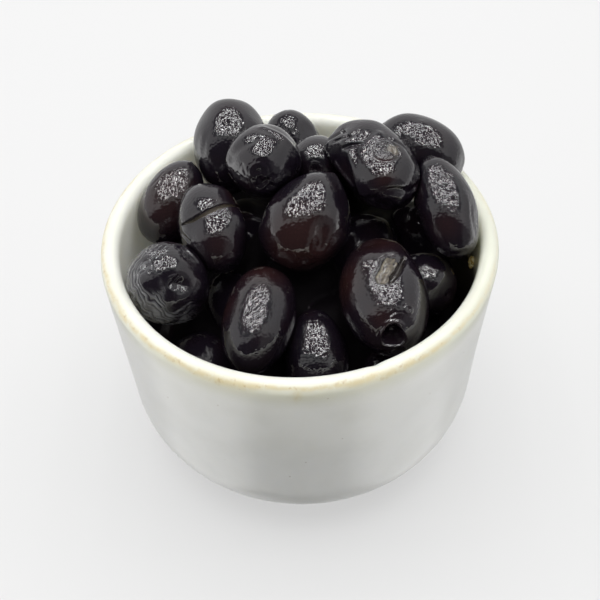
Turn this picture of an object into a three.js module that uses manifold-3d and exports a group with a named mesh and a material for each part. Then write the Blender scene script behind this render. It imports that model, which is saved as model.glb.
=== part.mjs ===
// A small round stoneware dish heaped with whole black table olives.
// Millimetres, +Z up. The origin is the centre of the foot, on the table.
// Two solids: the dish, and the heap of olives that fills it and stands above its rim.
import * as THREE from "three";
import { mergeVertices } from "three/addons/utils/BufferGeometryUtils.js";
import Module from "manifold-3d";

const wasm = await Module();
wasm.setup();

const degrees = THREE.MathUtils.degToRad;

// The dish: a turned bowl with nearly straight walls and a round rim on a low foot ring.
const RIM_RADIUS = 45;
const DISH_HEIGHT = 61.4;
const RIM_ROUND = 2.1; // half the wall, so the rim is fully round
const OUTSIDE_LEAN = degrees(3.6); // the walls open a little towards the rim
const INSIDE_LEAN = degrees(3.2);
const OUTSIDE_ROUND = 22; // where the wall turns in towards the foot
const INSIDE_ROUND = 17;
const FLOOR_HEIGHT = 6; // inside floor above the table
const FOOT_RADIUS = 28;
const FOOT_HEIGHT = 1.8;
const FOOT_WIDTH = 3.5;
const RECESS_HEIGHT = 1.2; // underside of the floor, inside the foot ring
const DISH_SIDES = 60;
const DISH_ARC_STEPS = 4; // an arc gets twice as many straight steps

// The olives keep clear of the dish by this much.
const CLEARANCE = 0.3;
const OLIVE_SIDES = 12;
const OLIVE_STEPS = 9;
const STEM_TAPER = 0.07; // the stem end is blunter than the tip by this share
const STEM_DIMPLE = 0.05; // depth of the stem dimple as a share of the length

// The pitted olive at the front: its hole shows at the stem end.
const PIT_HOLE_RADIUS = 2.3;
const PIT_HOLE_DEPTH = 5;

// Bulk of the heap under the olives that show: a dome that is highest towards the back.
const BULK_TOP = 60;
const BULK_ROUND = 67; // radius of the dome
const BULK_BACK = 8; // how far behind the dish's axis the dome's top is
const BULK_INSET = 0.7; // the olives that show touch the wall; the bulk stays in by this much
const BULK_SIDES = 32;
const BULK_ARC_STEPS = 2;

// Each olive: name, centre x, y, z, length, width, then the bearing of its stem end
// (degrees from +X) and that end's lift above the horizontal.
const OLIVES = [
  // Olives on top, which stand above the rim or level with it.
  ["back_left", -16.5, 27.5, 63.7, 23, 17, 88, 38],
  ["back", -0.5, 33.3, 58.7, 19.4, 13.2, 130, 48],
  ["peak_left", -7.8, 14.6, 70.4, 17.8, 16.6, -97, 25],
  ["behind_centre", 4.4, 20.9, 63.8, 17.5, 13.4, -95, 30],
  ["peak_right", 17.1, 12.8, 70.3, 25, 16.4, -48, -12],
  ["back_right", 28.9, 22.3, 65.8, 22.2, 16, -31, -19],
  ["right", 32.8, 3.7, 64.6, 25, 13.7, -73, -28],
  ["left", -30.3, 14.6, 57.7, 21.8, 14.5, -122, -36],
  ["slit", -19.8, 1.5, 62.1, 22.8, 15.2, -70, -16],
  ["centre", 1.5, -0.1, 64.4, 23.8, 19.2, -128, -36],
  ["wrinkled", -29.6, -11.2, 57.6, 19.5, 18.4, -67, 43],
  ["front", -9.4, -20.3, 54.7, 25, 16, 78, 17],
  ["pitted", 17.8, -16.3, 57.2, 29, 19.2, -81, -8],
  // Olives below them, seen through the gaps and from the other sides.
  ["low_right", 27.5, -5.5, 49.4, 17.2, 15, -47, 16],
  ["low_front", 2.8, -24.5, 44.2, 22, 15, -84, -25],
  ["low_front_left", -23, -20, 43, 20, 16, -60, 10],
  ["low_centre", 1.5, -6.5, 46, 21, 17, 10, 5],
  ["low_right_centre", 15.5, 6.4, 54, 21, 17, 60, 10],
  ["low_left_centre", -15, -5, 46.5, 21, 16.5, 100, 10],
  ["low_back_right", 14.5, 29.5, 56.5, 20, 16, -25, 0],
  ["low_back_left", -12.5, 13.5, 52.3, 20, 16, 160, 0],
  ["low_front_right", 21, -24, 39.5, 20, 16, 45, 0],
  ["low_behind_right", 29.5, 13.5, 45, 20, 16, 115, 10],
  ["low_left", -31, 2, 42, 20, 16, 90, 10],
  ["low_behind_left", -21, 23, 42, 20, 16, 135, 0],
];

const outsideRadiusAt = (z) => RIM_RADIUS - (DISH_HEIGHT - RIM_ROUND - z) * Math.tan(OUTSIDE_LEAN);
const insideRadiusAt = (z) =>
  RIM_RADIUS - 2 * RIM_ROUND - (DISH_HEIGHT - RIM_ROUND - z) * Math.tan(INSIDE_LEAN);

// Inside outline of the dish from its rim down to the axis, set in from the real wall by a gap.
function followInside(path, gap) {
  const arcHeight = FLOOR_HEIGHT + INSIDE_ROUND;
  const tangentHeight = arcHeight - INSIDE_ROUND * Math.sin(INSIDE_LEAN);
  const arcRadius = insideRadiusAt(tangentHeight) - INSIDE_ROUND * Math.cos(INSIDE_LEAN);
  path.absarc(arcRadius, arcHeight, INSIDE_ROUND - gap, -INSIDE_LEAN, -Math.PI / 2, true);
  path.lineTo(0, FLOOR_HEIGHT + gap);
}

// A solid turned about the axis from an outline that starts at the bottom.
function turned(outline, sides) {
  return new THREE.LatheGeometry(outline, sides).rotateX(Math.PI / 2);
}

function dishGeometry() {
  const tangentHeight = OUTSIDE_ROUND * (1 - Math.sin(OUTSIDE_LEAN));
  const arcRadius = outsideRadiusAt(tangentHeight) - OUTSIDE_ROUND * Math.cos(OUTSIDE_LEAN);
  const footAngle = -Math.asin((OUTSIDE_ROUND - FOOT_HEIGHT) / OUTSIDE_ROUND);
  const rimCentre = RIM_RADIUS - RIM_ROUND;
  const path = new THREE.Path();
  path.moveTo(0, RECESS_HEIGHT);
  path.lineTo(FOOT_RADIUS - FOOT_WIDTH - RECESS_HEIGHT, RECESS_HEIGHT);
  path.lineTo(FOOT_RADIUS - FOOT_WIDTH, 0);
  path.lineTo(FOOT_RADIUS, 0);
  path.absarc(arcRadius, OUTSIDE_ROUND, OUTSIDE_ROUND, footAngle, -OUTSIDE_LEAN, false);
  path.absarc(rimCentre, DISH_HEIGHT - RIM_ROUND, RIM_ROUND, 0, Math.PI, false);
  followInside(path, 0);
  return turned(path.getPoints(DISH_ARC_STEPS), DISH_SIDES);
}

// The space inside the dish and above its rim, set in from the dish by a gap.
function roomGeometry(gap) {
  const above = DISH_HEIGHT * 2;
  const path = new THREE.Path();
  path.moveTo(0, above);
  path.lineTo(RIM_RADIUS * 1.5, above);
  path.lineTo(RIM_RADIUS * 1.5, DISH_HEIGHT + gap);
  const rimCentre = RIM_RADIUS - RIM_ROUND;
  path.absarc(rimCentre, DISH_HEIGHT - RIM_ROUND, RIM_ROUND + gap, Math.PI / 2, Math.PI, false);
  followInside(path, gap);
  return turned(path.getPoints(BULK_ARC_STEPS).reverse(), BULK_SIDES);
}

// Olives packed out of sight, as one body under those that show.
function bulkSolid() {
  const dome = new THREE.SphereGeometry(BULK_ROUND, BULK_SIDES, BULK_SIDES / 2);
  dome.rotateX(Math.PI / 2).translate(0, BULK_BACK, BULK_TOP - BULK_ROUND);
  return solid(dome).intersect(solid(roomGeometry(CLEARANCE + BULK_INSET)));
}

// An olive along +Z with its stem end up; the pit hole, where there is one, opens there.
function oliveGeometry(length, width, pitted) {
  const points = [];
  for (let step = 0; step <= OLIVE_STEPS; step += 1) {
    const angle = (Math.PI * step) / OLIVE_STEPS;
    const blunt = 1 - STEM_TAPER * Math.cos(angle);
    const radius = (width / 2) * Math.sin(angle) * blunt;
    points.push(new THREE.Vector2(radius, (-length / 2) * Math.cos(angle)));
  }
  points.pop();
  if (pitted) {
    points.push(new THREE.Vector2(PIT_HOLE_RADIUS, length / 2 - 0.5));
    points.push(new THREE.Vector2(PIT_HOLE_RADIUS * 0.8, length / 2 - PIT_HOLE_DEPTH));
    points.push(new THREE.Vector2(0, length / 2 - PIT_HOLE_DEPTH));
  } else {
    points.push(new THREE.Vector2(0, (length / 2) * (1 - STEM_DIMPLE)));
  }
  return new THREE.LatheGeometry(points, OLIVE_SIDES).rotateX(Math.PI / 2);
}

function solid(geometry) {
  const bare = geometry.clone();
  bare.deleteAttribute("normal");
  bare.deleteAttribute("uv");
  const merged = mergeVertices(bare, 1e-4);
  const mesh = new wasm.Mesh({
    numProp: 3,
    vertProperties: merged.attributes.position.array,
    triVerts: new Uint32Array(merged.index.array),
  });
  return new wasm.Manifold(mesh);
}

function geometryOf(manifold) {
  const mesh = manifold.getMesh();
  const geometry = new THREE.BufferGeometry();
  geometry.setAttribute("position", new THREE.BufferAttribute(mesh.vertProperties, 3));
  geometry.setIndex(new THREE.BufferAttribute(mesh.triVerts, 1));
  geometry.computeVertexNormals();
  return geometry;
}

function heapGeometry() {
  let heap = bulkSolid();
  for (const [name, x, y, z, length, width, bearing, lift] of OLIVES) {
    const olive = oliveGeometry(length, width, name === "pitted");
    olive.rotateY(Math.PI / 2 - degrees(lift));
    olive.rotateZ(degrees(bearing));
    olive.translate(x, y, z);
    heap = heap.add(solid(olive));
  }
  return geometryOf(heap.intersect(solid(roomGeometry(CLEARANCE))));
}

const stoneware = new THREE.MeshStandardMaterial({ color: 0xe9e8e0, roughness: 0.3, metalness: 0 });
const oliveSkin = new THREE.MeshStandardMaterial({ color: 0x1c1413, roughness: 0.2, metalness: 0 });

const dish = new THREE.Mesh(dishGeometry(), stoneware);
dish.name = "dish";
const olives = new THREE.Mesh(heapGeometry(), oliveSkin);
olives.name = "olives";

const group = new THREE.Group();
group.add(dish, olives);

export default group;
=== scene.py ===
import math
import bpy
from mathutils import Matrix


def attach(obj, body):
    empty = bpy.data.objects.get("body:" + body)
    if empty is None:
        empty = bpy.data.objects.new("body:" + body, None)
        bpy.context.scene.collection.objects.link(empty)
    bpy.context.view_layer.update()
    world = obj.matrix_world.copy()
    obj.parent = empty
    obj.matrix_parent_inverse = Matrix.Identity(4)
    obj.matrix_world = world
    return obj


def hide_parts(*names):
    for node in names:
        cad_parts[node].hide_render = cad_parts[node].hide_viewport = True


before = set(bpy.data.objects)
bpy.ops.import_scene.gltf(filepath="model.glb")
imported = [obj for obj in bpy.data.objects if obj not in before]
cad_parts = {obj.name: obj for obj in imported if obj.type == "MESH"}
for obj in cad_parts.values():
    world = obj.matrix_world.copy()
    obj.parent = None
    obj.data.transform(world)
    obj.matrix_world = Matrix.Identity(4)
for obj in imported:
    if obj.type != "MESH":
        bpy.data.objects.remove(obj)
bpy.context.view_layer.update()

from types import SimpleNamespace

import bpy
import numpy as np
from mathutils import Matrix, Vector


# ---- Camera, table and light -------------------------------------------------------------
# The dish stands on a plain pale table, seen from the front and well above. It is lit by a
# white tent that is dark only low at the front, and by a grid of thin lamps under a ceiling.

mm = 0.001  # sizes are worked out in millimetres, and scaled to metres in each mesh

eye = np.array([-0.4, -168.5, 223.3])
look_down = math.radians(47.6)
head_tilt = math.radians(-1.3)
LENS = 62.2
SENSOR = 36

forward = np.array([0, math.cos(look_down), -math.sin(look_down)])
level_right = np.array([1.0, 0, 0])
level_up = np.cross(level_right, forward)
right_hand = math.cos(head_tilt) * level_right + math.sin(head_tilt) * level_up
upward = math.cos(head_tilt) * level_up - math.sin(head_tilt) * level_right

camera = bpy.data.objects.new("camera", bpy.data.cameras.new("camera"))
bpy.context.scene.collection.objects.link(camera)
camera.data.sensor_width = SENSOR
camera.data.lens = LENS
camera.data.clip_start = 0.01
turned_to_dish = Matrix(np.array([right_hand, upward, -forward]).T.tolist()).to_4x4()
camera.matrix_world = Matrix.Translation(Vector(eye * mm)) @ turned_to_dish
bpy.context.scene.camera = camera

bpy.context.scene.view_settings.view_transform = "Standard"
bpy.context.scene.view_settings.look = "None"

# How bright each part of the tent is, then the soft fill, then what the camera sees of it.
TENT = 0.95
TENT_RIGHT = 0.70
TENT_SIDES = 2.1
TENT_FRONT = 0.05
TENT_FRONT_RIGHT = 0.28
CEILING = 0.30
FILL_TOP = 0.45
FILL_SIDES = 2.5
FILL_FRONT = 0.95
FILL_BELOW = 0.36
BACKDROP = 0.905

# Places on the sky's map, where straight up is 0, 0 and level is 1 away.
FRONT_EDGE = 0.27
FRONT_BLUR = 0.04
CEILING_MIDDLE = (-0.03, 0.11)
CEILING_HALF = (0.43, 0.33)
CEILING_ROUND = 1.6

world = bpy.data.worlds.new("tent")
bpy.context.scene.world = world
world.use_nodes = True
sky = world.node_tree
sky.nodes.clear()


def add(tree, kind, **values):
    """A new node with its named properties, or its sockets, set."""
    node = tree.nodes.new(kind)
    for key, value in values.items():
        if hasattr(node, key):
            setattr(node, key, value)
        else:
            node.inputs[key.replace("_", " ")].default_value = value
    return node


def ramp(tree, source, low, high, out_low=0.0, out_high=1.0):
    """Smooth step of a value between two limits."""
    node = add(tree, "ShaderNodeMapRange", interpolation_type="SMOOTHSTEP")
    for socket, value in zip(node.inputs[1:5], (low, high, out_low, out_high)):
        socket.default_value = value
    tree.links.new(source, node.inputs[0])
    return node.outputs[0]


def maths(tree, operation, a, b=None):
    """One step of arithmetic on sockets or numbers."""
    node = add(tree, "ShaderNodeMath", operation=operation)
    for socket, value in zip(node.inputs, (a, b)):
        if isinstance(value, (int, float)):
            socket.default_value = value
        elif value is not None:
            tree.links.new(value, socket)
    return node.outputs[0]


def mixed(tree, amount, a, b):
    """A number between two others."""
    node = add(tree, "ShaderNodeMix", data_type="FLOAT")
    for socket, value in ((node.inputs[0], amount), (node.inputs[2], a), (node.inputs[3], b)):
        if isinstance(value, (int, float)):
            socket.default_value = value
        else:
            tree.links.new(value, socket)
    return node.outputs[0]


# Each direction's place on the flat map of the sky.
direction = add(sky, "ShaderNodeSeparateXYZ")
sky.links.new(add(sky, "ShaderNodeTexCoord").outputs["Generated"], direction.inputs[0])
spread = maths(sky, "MAXIMUM", maths(sky, "ADD", direction.outputs["Z"], 1.0), 0.3)
map_right = maths(sky, "DIVIDE", direction.outputs["X"], spread)
map_back = maths(sky, "DIVIDE", direction.outputs["Y"], spread)
map_front = maths(sky, "MULTIPLY", map_back, -1.0)
map_side = maths(sky, "ABSOLUTE", map_right)

# The tent is dimmer at the right, bright low at both sides, plain at the back, and dark low
# at the front.
tent = mixed(sky, ramp(sky, map_right, 0.35, 0.65), TENT, TENT_RIGHT)
tent = mixed(sky, ramp(sky, map_side, 0.75, 1.25), tent, TENT_SIDES)
tent = mixed(sky, ramp(sky, map_back, 0.45, 0.9), tent, TENT)
front = mixed(sky, ramp(sky, map_right, 0.25, 0.50), TENT_FRONT, TENT_FRONT_RIGHT)
far_front = ramp(sky, map_front, FRONT_EDGE - FRONT_BLUR, FRONT_EDGE + FRONT_BLUR)
in_front = maths(sky, "MULTIPLY", far_front, ramp(sky, map_side, 1.2, 0.75))
tent_light = mixed(sky, in_front, tent, front)

# The ceiling that the lamps hang from is darker than the tent round it.
from_middle = []
for map_place, middle, half in zip((map_right, map_back), CEILING_MIDDLE, CEILING_HALF):
    away = maths(sky, "DIVIDE", maths(sky, "SUBTRACT", map_place, middle), half)
    from_middle.append(maths(sky, "POWER", maths(sky, "MULTIPLY", away, away), CEILING_ROUND))
under_ceiling = ramp(sky, maths(sky, "ADD", *from_middle), 1.15, 0.9)
tent_light = mixed(sky, under_ceiling, tent_light, CEILING)

# The soft fill lights what is matt, and the gloss mirrors the tent and its ceiling instead.
path = add(sky, "ShaderNodeLightPath")
fill = mixed(sky, ramp(sky, map_side, 0.25, 0.8), FILL_TOP, FILL_SIDES)
fill = mixed(sky, in_front, fill, FILL_FRONT)
fill = mixed(sky, ramp(sky, direction.outputs["Z"], 0.02, -0.05), fill, FILL_BELOW)
tent_light = mixed(sky, path.outputs["Is Diffuse Ray"], tent_light, fill)
seen = mixed(sky, path.outputs["Is Camera Ray"], tent_light, BACKDROP)
backdrop = add(sky, "ShaderNodeBackground")
sky.links.new(seen, backdrop.inputs["Strength"])
sky.links.new(backdrop.outputs[0], add(sky, "ShaderNodeOutputWorld").inputs["Surface"])

# Thin tubes that cross each other hang over the dish, as a grid with rounded corners (metres).
LAMP_HEIGHT = 0.80
LAMP_WIDTH = 0.0045
LAMP_GLOW = 43
GRID_MIDDLE = (-0.04, 0.20)
GRID_HALF = (0.62, 0.50)
GRID_ROUND = 3.2
LAMPS_EACH_WAY = 8
OUTER_LAMP = 0.96  # place of the outermost tubes, as a share of the grid's half width

for n in range(2 * LAMPS_EACH_WAY):
    along = n // LAMPS_EACH_WAY
    offset = -OUTER_LAMP + 2 * OUTER_LAMP * (n % LAMPS_EACH_WAY) / (LAMPS_EACH_WAY - 1)
    tube = bpy.data.lights.new(f"lamp_{n}", "AREA")
    tube.shape = "RECTANGLE"
    tube.size = 2 * GRID_HALF[along] * (1 - abs(offset) ** GRID_ROUND) ** (1 / GRID_ROUND)
    tube.size_y = LAMP_WIDTH
    tube.energy = LAMP_GLOW * math.pi * tube.size * tube.size_y
    lamp = bpy.data.objects.new(tube.name, tube)
    bpy.context.scene.collection.objects.link(lamp)
    middle = list(GRID_MIDDLE)
    middle[1 - along] += offset * GRID_HALF[1 - along]
    lamp.location = (*middle, LAMP_HEIGHT)
    lamp.rotation_euler.z = along * math.pi / 2
    lamp.visible_camera = False

# The table glows a little, which keeps it evenly pale. It neither lights the dish nor shows in
# its gloss.
TABLE_HALF = 4.0  # metres
TABLE_GREY = 0.30
TABLE_GLOW = 0.46

table_mesh = bpy.data.meshes.new("table")
table_corners = [(TABLE_HALF * x, TABLE_HALF * y, 0) for x, y in ((-1, -1), (1, -1), (1, 1), (-1, 1))]
table_mesh.from_pydata(table_corners, [], [(0, 1, 2, 3)])
table = bpy.data.objects.new("table", table_mesh)
bpy.context.scene.collection.objects.link(table)
laminate = bpy.data.materials.new("table")
laminate.use_nodes = True
matt = laminate.node_tree.nodes["Principled BSDF"]
matt.inputs["Base Color"].default_value = (TABLE_GREY, TABLE_GREY, TABLE_GREY, 1)
matt.inputs["Emission Color"].default_value = (1, 1, 1, 1)
matt.inputs["Emission Strength"].default_value = TABLE_GLOW
matt.inputs["Roughness"].default_value = 0.9
matt.inputs["Specular IOR Level"].default_value = 0
table_mesh.materials.append(laminate)
table.visible_glossy = False
table.visible_diffuse = False


# ---- The dish ----------------------------------------------------------------------------
# A small stoneware dish, turned and glazed off-white. The glaze runs thin on the outer edge
# of the round rim, where the buff clay shows through, and the foot ring is bare clay.

RIM_RADIUS = 45.0
DISH_HEIGHT = 61.4
RIM_ROUND = 2.1
OUTSIDE_LEAN = math.radians(3.6)
INSIDE_LEAN = math.radians(3.2)
OUTSIDE_ROUND = 22.0
INSIDE_ROUND = 17.0
FLOOR_HEIGHT = 6.0
FOOT_RADIUS = 28.0
FOOT_HEIGHT = 1.8
FOOT_WIDTH = 3.5
FOOT_EDGE = 0.5
RECESS_HEIGHT = 1.2
DISH_AROUND = 360

# The upper wall is drawn in by this much towards one side, the right of the front.
DRAWN_IN = 0.85
DRAWN_TOWARDS = (0.643, -0.766)

# A small chip on the inner edge of the rim, at the front.
CHIP_AT = (14.4, -37.9, DISH_HEIGHT - 1.0)
CHIP_SIZE = (1.5, 0.9, 3)
CHIP_DEPTH = 0.45

GLAZE = (0.86, 0.862, 0.81)
GLAZE_SHADE = (0.81, 0.812, 0.76)
CREAM_GLAZE = (0.76, 0.70, 0.55)
# Tone of the painted shade over the rim and on the inside at the right.
SHADED_GLAZE_TONE = (0.62, 0.63, 0.53)
# Colour of the painted shade inside the dish.
INNER_SHADE_TONE = (0.05, 0.04, 0.03)
THIN_GLAZE = (0.62, 0.55, 0.37)
FLECK = (0.48, 0.38, 0.22)
SPECK = (0.45, 0.40, 0.32)
BARE_CLAY = (0.55, 0.46, 0.35)
GLAZE_ROUGHNESS = 0.34
CLAY_ROUGHNESS = 0.85
COAT_WEIGHT = 0.15
COAT_ROUGHNESS = 0.16
SPECK_PITCH = 5.5
PEEL_PITCH = 2.4
PEEL_DEPTH = 0.04

rim_centre = RIM_RADIUS - RIM_ROUND
rim_height = DISH_HEIGHT - RIM_ROUND


def soft(low, high, values):
    """0 below the low limit, 1 above the high one, and smooth between."""
    way = np.clip((values - low) / (high - low), 0, 1)
    return way * way * (3 - 2 * way)


def hump(away, across, steepness=2):
    """1 where the distance is 0, falling smoothly to 0 beyond that breadth."""
    return np.exp(-((away / across) ** steepness))


def outside_radius(height):
    """Radius of the wall's outside at a height between its bend and the rim."""
    return RIM_RADIUS - (rim_height - height) * math.tan(OUTSIDE_LEAN)


def inside_radius(height):
    """Radius of the wall's inside at a height between its bend and the rim."""
    return rim_centre - RIM_ROUND - (rim_height - height) * np.tan(INSIDE_LEAN)


def drawn_in(points):
    """How far the upper wall stands inside a true circle."""
    towards = points[:, :2] @ DRAWN_TOWARDS / np.maximum(np.hypot(points[:, 0], points[:, 1]), 1)
    return DRAWN_IN * np.maximum(towards, 0) ** 2 * soft(4, 40, points[:, 2])


def arc(radius, height, bend, start, end, steps):
    """Points on an arc of the outline, from one angle to the other."""
    angles = np.linspace(start, end, steps)
    return np.stack([radius + bend * np.cos(angles), height + bend * np.sin(angles)], 1)


def line(a, b, steps):
    """Points on a straight stretch of the outline, without its last end."""
    return np.linspace(a, b, steps, endpoint=False)


def closed_faces(rows, around):
    """Faces of a closed skin: one pole, rows of points round it, and the other pole."""
    at = 1 + np.arange(rows)[:, None] * around + np.arange(around)
    beside = np.roll(at, -1, 1)
    last = 1 + rows * around
    quads = np.stack([at[:-1], beside[:-1], beside[1:], at[1:]], -1).reshape(-1, 4)
    start = np.stack([np.zeros(around, int), beside[0], at[0]], -1)
    end = np.stack([np.full(around, last), at[-1], beside[-1]], -1)
    return start.tolist() + quads.tolist() + end.tolist()


def piece(name, shells, material):
    """One mesh piece from closed shells given in millimetres, riding on the one body."""
    points, faces, fields = [], [], {}
    for closed in shells:
        first = sum(len(before) for before in points)
        points.append(closed["points"])
        faces += [[first + corner for corner in face] for face in closed["faces"]]
        for field_name, values in closed["fields"].items():
            fields.setdefault(field_name, []).append(values)
    mesh = bpy.data.meshes.new(name)
    mesh.from_pydata((np.concatenate(points) * mm).tolist(), [], faces)
    mesh.shade_smooth()
    for field_name, values in fields.items():
        stored = mesh.attributes.new(field_name, "FLOAT", "POINT")
        stored.data.foreach_set("value", np.concatenate(values).astype(np.float32))
    mesh.materials.append(material)
    made = bpy.data.objects.new(name, mesh)
    bpy.context.scene.collection.objects.link(made)
    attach(made, "root")
    return made


def waves(points, pitch, seed, count=28):
    """A smooth uneven field, about -1 to 1, whose swells are about that far apart."""
    chance = np.random.default_rng(seed)
    heading = chance.normal(size=(3, count))
    heading /= np.linalg.norm(heading, axis=0)
    heading *= 2 * math.pi / (pitch * chance.uniform(0.7, 1.5, count))
    start = chance.uniform(0, 2 * math.pi, count)
    return np.sin(points @ heading + start).sum(1) / math.sqrt(count)


outside_tangent = OUTSIDE_ROUND * (1 - math.sin(OUTSIDE_LEAN))
outside_arc = outside_radius(outside_tangent) - OUTSIDE_ROUND * math.cos(OUTSIDE_LEAN)
foot_angle = -math.asin((OUTSIDE_ROUND - FOOT_HEIGHT) / OUTSIDE_ROUND)
inside_height = FLOOR_HEIGHT + INSIDE_ROUND
inside_tangent = inside_height - INSIDE_ROUND * math.sin(INSIDE_LEAN)
inside_arc = inside_radius(inside_tangent) - INSIDE_ROUND * math.cos(INSIDE_LEAN)
ring_inside = FOOT_RADIUS - FOOT_WIDTH

# Half of the dish's cross-section, from the middle underneath, over the rim, to the middle of
# the floor inside.
outline = np.concatenate(
    [
        line((1.0, RECESS_HEIGHT), (ring_inside - RECESS_HEIGHT, RECESS_HEIGHT), 12),
        line((ring_inside - RECESS_HEIGHT, RECESS_HEIGHT), (ring_inside, 0.12), 4),
        line((ring_inside + 0.25, 0.0), (FOOT_RADIUS - FOOT_EDGE, 0.0), 5),
        arc(FOOT_RADIUS - FOOT_EDGE, FOOT_EDGE, FOOT_EDGE, -math.pi / 2, 0, 6),
        arc(outside_arc, OUTSIDE_ROUND, OUTSIDE_ROUND, foot_angle, -OUTSIDE_LEAN, 30),
        line(
            (outside_radius(outside_tangent + 1), outside_tangent + 1),
            (outside_radius(rim_height - 0.6), rim_height - 0.6),
            26,
        ),
        arc(rim_centre, rim_height, RIM_ROUND, -OUTSIDE_LEAN, math.pi - INSIDE_LEAN, 24),
        line(
            (inside_radius(rim_height - 0.8), rim_height - 0.8),
            (inside_radius(inside_tangent), inside_tangent),
            22,
        ),
        arc(inside_arc, inside_height, INSIDE_ROUND, -INSIDE_LEAN, -math.pi / 2, 18),
        line((inside_arc - 1, FLOOR_HEIGHT), (1.0, FLOOR_HEIGHT), 8),
    ]
)

turn = np.linspace(0, 2 * math.pi, DISH_AROUND, endpoint=False)
out_by = outline[:, :1]
up_by = np.broadcast_to(outline[:, 1:], (len(outline), DISH_AROUND))
wall = np.stack([out_by * np.cos(turn), out_by * np.sin(turn), up_by], -1).reshape(-1, 3)
wall = np.vstack([[0, 0, RECESS_HEIGHT], wall, [0, 0, FLOOR_HEIGHT]])

# How far over the rim each point is, from where the outside wall ends (millimetres).
radius = np.hypot(wall[:, 0], wall[:, 1])
over_rim = np.arctan2(wall[:, 2] - rim_height, radius - rim_centre) * RIM_ROUND
over_rim = np.where(wall[:, 2] > rim_height, over_rim, wall[:, 2] - rim_height)
outer = soft(rim_centre - 1.5, rim_centre - 0.5, radius)

# The maker's hand: the wall and the rim are a little uneven and out of round.
uneven = waves(wall, 34, 11) * 0.5 + waves(wall, 9, 12) * 0.12
upper = soft(4, 30, wall[:, 2])
out_of_round = upper * (0.0012 + 0.0010 * uneven)
wall[:, :2] *= (1 - out_of_round - drawn_in(wall) / np.maximum(radius, 5))[:, None]
wall[:, 2] -= soft(DISH_HEIGHT - 4, DISH_HEIGHT, wall[:, 2]) * (0.05 + 0.05 * waves(wall, 26, 13))
wall[:, 2] -= CHIP_DEPTH * hump(np.linalg.norm((wall - CHIP_AT) / CHIP_SIZE, axis=1), 1)

# Where the glaze has drawn back from the outer edge of the rim, where a little of it has run
# down below that edge, and where it is only cream.
edge = 1.65 + 0.22 * waves(wall, 17, 14) + 0.15 * waves(wall, 4, 15)
edge_width = 0.62 + 0.22 * waves(wall, 22, 16)
thin = outer * hump(over_rim - edge, np.maximum(edge_width, 0.25))
thin *= 1 - 0.6 * soft(28, 42, wall[:, 0])
run_down = hump(wall[:, 0] + 1.45, 0.7) * (wall[:, 1] < 0) * soft(-2.8, -0.8, over_rim)
thin = np.maximum(thin, outer * 0.8 * run_down * (1 - soft(1.0, 2.0, over_rim)))
cream = outer * hump(over_rim - 1.2, 2.4) * (0.75 + 0.35 * waves(wall, 13, 18))

# Painted shade: the inside of the dish is darkened low down at the front and the right, near the
# olives, where shade falls.
past_rim = np.arange(len(wall)) > np.argmax(outline[:, 1]) * DISH_AROUND
inside = past_rim * (1 - soft(rim_centre - 1.6, rim_centre - 1.2, radius))
low_edge = wall[:, 2] + 0.8 * waves(wall, 9, 19)
inner_shade = inside * soft(25, 35, -wall[:, 1]) * (1 - soft(56.5, 59.3, low_edge))
at_right = soft(22, 34, wall[:, 0]) * soft(24, 13, wall[:, 1])
inner_shade = np.maximum(inner_shade, inside * at_right * (1 - soft(50, 56, low_edge)))
far_right = inside * soft(26, 40, wall[:, 0])
inner_shade = np.maximum(inner_shade, 0.6 * far_right * (1 - soft(50, 61, low_edge)))

# Painted shade, a little greener in tone: over the rim, more towards the right and less down the
# inside, and on the inside wall at the far right, where the olives shade it.
glaze_shade_mask = (0.65 + 0.35 * soft(15, 40, wall[:, 0])) * soft(54, 60, wall[:, 2])
glaze_shade_mask *= 1 - 0.8 * past_rim * (1 - soft(39.5, 43, radius))
glaze_shade_mask = np.maximum(glaze_shade_mask, 0.95 * far_right)

# The ring that the dish stands on was wiped clean of glaze before firing.
bare = 1 - soft(1.5, 1.9, wall[:, 2] + 0.15 * waves(wall, 6, 17))
bare *= soft(20.5, 21.5, radius) * (1 - soft(30, 31, radius))

stoneware = bpy.data.materials.new("stoneware")
stoneware.use_nodes = True
tree = stoneware.node_tree
glaze = tree.nodes["Principled BSDF"]
glaze.inputs["Subsurface Weight"].default_value = 0.8
glaze.inputs["Subsurface Radius"].default_value = (1.0, 0.97, 0.9)
glaze.inputs["Subsurface Scale"].default_value = 8 * mm
glaze.inputs["Coat Roughness"].default_value = COAT_ROUGHNESS
place = add(tree, "ShaderNodeTexCoord").outputs["Object"]


def field(tree, name):
    """A value that the mesh carries for each of its points."""
    return add(tree, "ShaderNodeAttribute", attribute_name=name).outputs["Fac"]


def noise(tree, source, pitch, detail=2.0, roughness=0.5):
    """Fine noise of about that pitch in millimetres."""
    node = add(tree, "ShaderNodeTexNoise", Detail=detail, Roughness=roughness)
    node.inputs["Scale"].default_value = 1 / (pitch * mm)
    tree.links.new(source, node.inputs["Vector"])
    return node.outputs["Fac"]


def blend(tree, amount, a, b):
    """A colour between two others."""
    node = add(tree, "ShaderNodeMix", data_type="RGBA")
    tree.links.new(amount, node.inputs[0])
    for socket, value in ((node.inputs[6], a), (node.inputs[7], b)):
        if isinstance(value, tuple):
            socket.default_value = (*value, 1)
        else:
            tree.links.new(value, socket)
    return node.outputs[2]


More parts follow.
